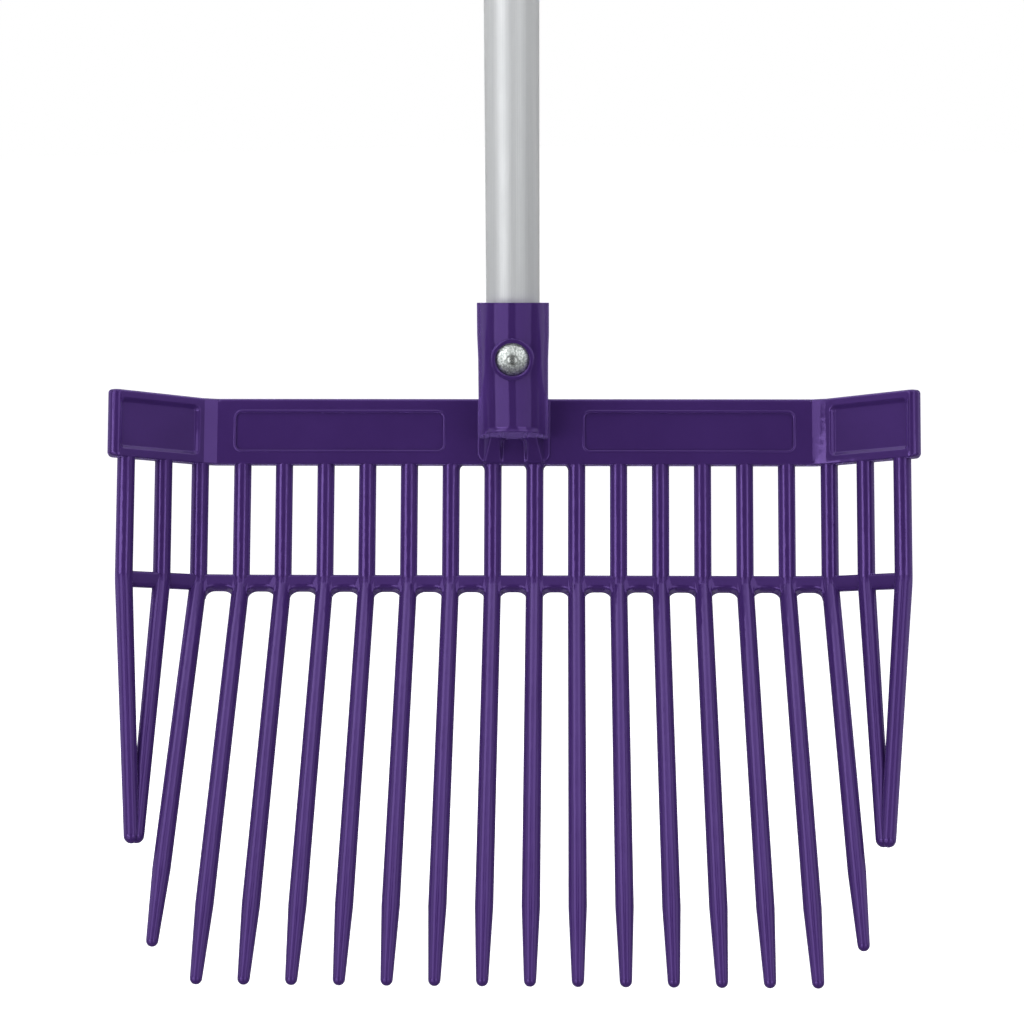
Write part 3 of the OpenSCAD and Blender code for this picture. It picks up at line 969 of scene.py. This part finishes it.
def rib_height(x, z):
    """How far a rib stands out from the pad: more towards the lip, with a pocket between the two ribs."""
    reach = RIB_REACH * max(z - PAD_LIFT, 0.0) / (LIP_UP - PAD_LIFT)
    pocket = TINE_PITCH / 2 - TINE_R
    into_corner = min(max(z - LIP_UP + POCKET_CORNER_R, 0.0), POCKET_CORNER_R)
    pocket -= POCKET_CORNER_R - math.sqrt(POCKET_CORNER_R ** 2 - into_corner ** 2)
    side = RIB_REACH * (TINE_PITCH / 2 + TINE_R - abs(x)) / RIB_LEAN
    return max(soft_least(reach, side, RIB_SOFT), 0.0) * soft_step(abs(x) - pocket, RIB_SOFT)


def foot_height(x, z):
    """How far the socket's foot stands out from the bar's face, just under it outside the pad."""
    inside = inside_pad(x, z)
    if inside <= 0:
        return -NEAR
    return PAD_T * rounded_step(inside, PAD_EDGE_R) + rib_height(x, z)


def foot_mesh():
    """The pad under the socket with its two ribs, as a closed relief on the bar's face."""
    # The points of the relief go one step beyond the pad on every side
    half_columns = math.ceil(PAD_W / 2 / FOOT_STEP) + 1
    columns = 2 * half_columns + 1
    rows = math.ceil((LIP_UP - PAD_LIFT) / FOOT_STEP) + 3
    points = []
    for row in range(rows):
        z = PAD_LIFT + (row - 1) * FOOT_STEP
        for column in range(columns):
            x = (column - half_columns) * FOOT_STEP
            points.append(Vector((x, -BAR_T / 2 - foot_height(x, z), z)))
    faces = []
    for row in range(rows - 1):
        for column in range(columns - 1):
            corner = row * columns + column
            faces.append((corner, corner + 1, corner + columns + 1, corner + columns))
    border = [*range(columns)]
    border += [row * columns + columns - 1 for row in range(1, rows)]
    border += [(rows - 1) * columns + column for column in range(columns - 2, -1, -1)]
    border += [row * columns for row in range(rows - 2, 0, -1)]
    behind = range(len(points), len(points) + len(border))
    points += [Vector((points[k].x, FOOT_SINK - BAR_T / 2, points[k].z)) for k in border]
    faces += band_faces(list(behind), border)
    faces.append(tuple(reversed(behind)))
    return smooth_mesh("socket_foot", points, faces, RELIEF_CRISP_ANGLE)


def lip_profile(size):
    """Outline of the socket's lip, as (height above its edge, distance out from the socket)."""
    outline = [(LIP_H, -LIP_SINK)]
    for step in range(FLARE_STEPS + 1):
        share = step / FLARE_STEPS
        outline.append((LIP_H + (LIP_EDGE_R - LIP_H) * share, size * LIP_FLARE * share ** 2))
    for step in range(1, EDGE_STEPS + 1):
        turn = step * math.pi / (2 * EDGE_STEPS)
        out = size * (LIP_FLARE - LIP_EDGE_R + LIP_EDGE_R * math.cos(turn))
        outline.append((LIP_EDGE_R - LIP_EDGE_R * math.sin(turn), out))
    outline.append((0.0, -LIP_SINK))
    return outline


def lip_mesh():
    """The lip that rolls out round the front of the socket's lower end and fades out at both sides."""
    points = []
    rings = []
    for step in range(LIP_STEPS + 1):
        turn = LIP_HALF_TURN * (2 * step / LIP_STEPS - 1)
        size = soft_step(LIP_HALF_TURN - abs(turn) - LIP_FADE_TURN / 2, LIP_FADE_TURN / 2)
        ring = []
        for rise, out in lip_profile(size):
            x = (SOCKET_R + out) * math.sin(turn)
            y = -(SOCKET_R + out) * math.cos(turn)
            # The place along the handle's axis at which this point is at the right height over the bar
            level = HEAD_BACK @ Vector((x, y, 0))
            z = (LIP_UP + rise - level.z) / HEAD_BACK[2][2]
            ring.append(len(points))
            points.append(HEAD_BACK @ Vector((x, y, z)))
        rings.append(ring)
    faces = [tuple(rings[0]), tuple(reversed(rings[-1]))]
    for one, other in zip(rings, rings[1:]):
        faces += band_faces(other, one)
    return smooth_mesh("socket_lip", points, faces, RELIEF_CRISP_ANGLE)


def even_normals(piece):
    """Shades flat faces flat between rounded edges."""
    modifier = piece.modifiers.new("even_normals", "WEIGHTED_NORMAL")
    modifier.keep_sharp = True


def dress_head(plastic):
    """The moulding: smooth tines and brace, and the bar, wings and socket with rounded edges."""
    for number in range(1, TINE_COUNT + 1):
        node = f"tine_{number:02d}"
        add_piece(f"{node}_mould", tine_mesh(number), plastic, node)
    add_piece("brace_mould", brace_mesh(), plastic, "brace")
    even_normals(add_piece("bar_mould", softened("bar", bar_edge_radius, on_seam), plastic, "bar"))
    for node in ("left_wing", "right_wing"):
        wing_mesh = round_wing_corner(softened(node, bar_edge_radius, on_seam))
        even_normals(add_piece(f"{node}_mould", wing_mesh, plastic, node))
    add_piece("left_panel_bead", bead_mesh("left_panel_bead", -PANEL_FAR, -PANEL_NEAR), plastic)
    add_piece("right_panel_bead", bead_mesh("right_panel_bead", PANEL_NEAR, PANEL_FAR), plastic)
    left_slope = slope_mesh("left_wing_slope", -WING_PANEL_FAR, -WING_PANEL_NEAR, on_left_wing)
    add_piece("left_wing_slope", left_slope, plastic)
    right_slope = slope_mesh("right_wing_slope", WING_PANEL_NEAR, WING_PANEL_FAR, on_right_wing)
    add_piece("right_wing_slope", right_slope, plastic)
    socket_mesh = softened("socket", socket_edge_radius, on_bar, shape_socket)
    even_normals(add_piece("socket_mould", socket_mesh, plastic, "socket"))
    add_piece("socket_foot", foot_mesh(), plastic)
    add_piece("socket_lip", lip_mesh(), plastic)


def dress_cad_nodes():
    """Finishes for the CAD nodes that are shown as they are."""
    zinc = zinc_material()
    own = {
        "handle_tube": tube_material(),
        "end_cap": cap_material(),
        "bolt": bolt_material(),
        "washer": zinc,
        "nut": zinc,
    }
    for name, material in own.items():
        paint(NODES[name], material)


def grey(level):
    """A neutral colour."""
    return (level, level, level, 1.0)


def surround_level(tree, vector):
    """What reflections see of the studio, by direction: pale walls at the sides, dark ahead and behind."""
    flat = tree.nodes.new("ShaderNodeVectorMath")
    flat.operation = "MULTIPLY"
    flat.inputs[1].default_value = (1.0, 1.0, 0.0)
    unit = tree.nodes.new("ShaderNodeVectorMath")
    unit.operation = "NORMALIZE"
    split = tree.nodes.new("ShaderNodeSeparateXYZ")
    ramp = tree.nodes.new("ShaderNodeValToRGB")
    tree.links.new(vector, flat.inputs[0])
    tree.links.new(flat.outputs["Vector"], unit.inputs[0])
    tree.links.new(unit.outputs["Vector"], split.inputs["Vector"])
    tree.links.new(spread(tree, split.outputs["Y"], 0.0, 1.0, -1.0, 1.0), ramp.inputs["Fac"])
    ends = zip(ramp.color_ramp.elements, (WALL_STOPS[0], WALL_STOPS[-1]))
    for element, (place, level) in ends:
        element.position = place
        element.color = grey(level)
    for place, level in WALL_STOPS[1:-1]:
        ramp.color_ramp.elements.new(place).color = grey(level)
    return ramp.outputs["Color"]


def make_world():
    """White behind the fork for the camera, the studio's walls in reflections, dim light for the rest."""
    world = bpy.data.worlds.new("studio")
    bpy.context.scene.world = world
    world.use_nodes = True
    tree = world.node_tree
    nodes, links = tree.nodes, tree.links
    nodes.clear()
    output = nodes.new("ShaderNodeOutputWorld")
    ambient = nodes.new("ShaderNodeBackground")
    ambient.inputs["Color"].default_value = WHITE
    ambient.inputs["Strength"].default_value = AMBIENT_LEVEL
    backdrop = nodes.new("ShaderNodeBackground")
    backdrop.inputs["Color"].default_value = WHITE
    path = nodes.new("ShaderNodeLightPath")
    direction = nodes.new("ShaderNodeTexCoord")
    mix = nodes.new("ShaderNodeMixShader")
    walls = surround_level(tree, direction.outputs["Generated"])
    level = maths(tree, "MAXIMUM", walls, path.outputs["Is Camera Ray"])
    links.new(level, backdrop.inputs["Strength"])
    shown = maths(tree, "MAXIMUM", path.outputs["Is Camera Ray"], path.outputs["Is Glossy Ray"])
    shown = maths(tree, "MAXIMUM", shown, path.outputs["Is Transmission Ray"])
    links.new(shown, mix.inputs["Fac"])
    links.new(ambient.outputs["Background"], mix.inputs[1])
    links.new(backdrop.outputs["Background"], mix.inputs[2])
    links.new(mix.outputs["Shader"], output.inputs["Surface"])


def floor_material(low):
    """Pale paper: white to the camera but for the fork's shadow, and the studio's walls in reflections."""
    material = bpy.data.materials.new("pale_floor")
    material.use_nodes = True
    tree = material.node_tree
    nodes, links = tree.nodes, tree.links
    nodes.clear()
    output = nodes.new("ShaderNodeOutputMaterial")
    path = nodes.new("ShaderNodeLightPath")
    place = nodes.new("ShaderNodeNewGeometry").outputs["Position"]
    from_fork = distance_from(tree, place, (0.0, 0.0, low))

    paper = nodes.new("ShaderNodeBsdfDiffuse")
    paper.inputs["Color"].default_value = grey(FLOOR_BOUNCE)
    shown = nodes.new("ShaderNodeBsdfDiffuse")
    shown.inputs["Color"].default_value = grey(FLOOR_SHOWN)
    glow = nodes.new("ShaderNodeEmission")
    links.new(spread(tree, from_fork, GLOW_NEAR, GLOW_FAR, *GLOW_FADE), glow.inputs["Strength"])
    white = nodes.new("ShaderNodeAddShader")
    links.new(shown.outputs["BSDF"], white.inputs[0])
    links.new(glow.outputs["Emission"], white.inputs[1])
    direct = nodes.new("ShaderNodeMixShader")
    seen = maths(tree, "MAXIMUM", path.outputs["Is Camera Ray"], path.outputs["Is Transmission Ray"])
    links.new(seen, direct.inputs["Fac"])
    links.new(paper.outputs["BSDF"], direct.inputs[1])
    links.new(white.outputs["Shader"], direct.inputs[2])

    mirrored = nodes.new("ShaderNodeEmission")
    near = spread(tree, from_fork, NEAR_FLOOR_LEVEL, 0.0, *NEAR_FLOOR_FADE)
    links.new(maths(tree, "MAXIMUM", surround_level(tree, place), near), mirrored.inputs["Strength"])
    mix = nodes.new("ShaderNodeMixShader")
    links.new(path.outputs["Is Glossy Ray"], mix.inputs["Fac"])
    links.new(direct.outputs["Shader"], mix.inputs[1])
    links.new(mirrored.outputs["Emission"], mix.inputs[2])
    links.new(mix.outputs["Shader"], output.inputs["Surface"])
    return material


def make_floor():
    """A round floor, so far below the fork that its shadow falls out of the photograph's view."""
    low = CAD_BOX[0][2] - FLOOR_DROP
    bpy.ops.mesh.primitive_circle_add(
        vertices=FLOOR_SIDES, radius=FLOOR_RADIUS, fill_type="NGON", location=(0, 0, low)
    )
    floor = bpy.context.object
    floor.name = "floor"
    floor.data.materials.append(floor_material(low))


def area_lamp(name, width, height, radiance):
    """A rectangular lamp of the given radiance, yet to be placed."""
    data = bpy.data.lights.new(name, "AREA")
    data.shape = "RECTANGLE"
    data.size = width
    data.size_y = height
    data.energy = radiance * math.pi * width * height
    lamp = bpy.data.objects.new(name, data)
    bpy.context.scene.collection.objects.link(lamp)
    return lamp


def softbox(name, place, target, width, height, radiance, mirrored):
    """A lamp turned towards the target and shown in reflections or not."""
    lamp = area_lamp(name, width, height, radiance)
    lamp.location = place
    aim = Vector(target) - Vector(place)
    lamp.rotation_euler = aim.to_track_quat("-Z", "Y").to_euler()
    lamp.visible_glossy = mirrored


def strip(name, ends, width, radiance):
    """A long lamp between two points, facing the fork."""
    first, second = [Vector(end) for end in ends]
    along = (second - first).normalized()
    middle = (first + second) / 2
    away = middle - STRIP_TARGET
    away = (away - away.dot(along) * along).normalized()
    across = along.cross(away)
    lamp = area_lamp(name, width, (second - first).length, radiance)
    lamp.matrix_world = Matrix.Translation(middle) @ Matrix((across, along, away)).transposed().to_4x4()


def make_lights():
    """Strips that lean over the fork, softboxes round it, and rim lamps behind it, hidden from gloss."""
    for name, settings in STRIPS.items():
        strip(name, *settings)
    for name, settings in SOFTBOXES.items():
        softbox(name, *settings)


def make_camera():
    """The camera at the photograph's viewing angle."""
    data = bpy.data.cameras.new("camera")
    data.sensor_width = SENSOR_W
    data.lens = LENS
    camera = bpy.data.objects.new("camera", data)
    camera.location = CAMERA_AT
    camera.rotation_euler = [math.radians(angle) for angle in CAMERA_TURN_DEG]
    bpy.context.scene.collection.objects.link(camera)
    bpy.context.scene.camera = camera


make_camera()
make_world()
make_floor()
make_lights()
dress_head(plastic_material())
dress_cad_nodes()
bpy.context.scene.view_settings.view_transform = "Standard"
